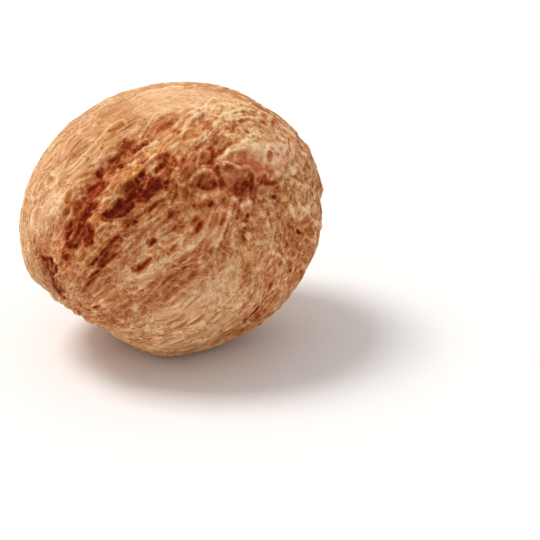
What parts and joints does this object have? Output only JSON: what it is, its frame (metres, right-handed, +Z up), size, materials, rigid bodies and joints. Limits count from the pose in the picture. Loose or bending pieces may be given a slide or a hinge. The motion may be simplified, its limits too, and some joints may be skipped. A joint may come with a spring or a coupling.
{
  "type": "whole nutmeg",
  "caption": "Whole dried nutmeg kernel lying on its side: an egg-shaped seed with a wrinkled, veined light brown skin and a small flat to rest on.",
  "frame": {"origin": "middle of the kernel's box at its underside, where it rests", "axes": "+X along the kernel's length towards the chalaza end, which is raised a little; +Z up; -Y towards the raphe side"},
  "size_m": [0.0242, 0.0208, 0.0207],
  "materials": {
    "skin": "dull dried seed skin, light brown on the ridges and veins and red-brown in the grooves"
  },
  "bodies": {
    "root": {"nutmeg": "skin"}
  },
  "joints": []
}
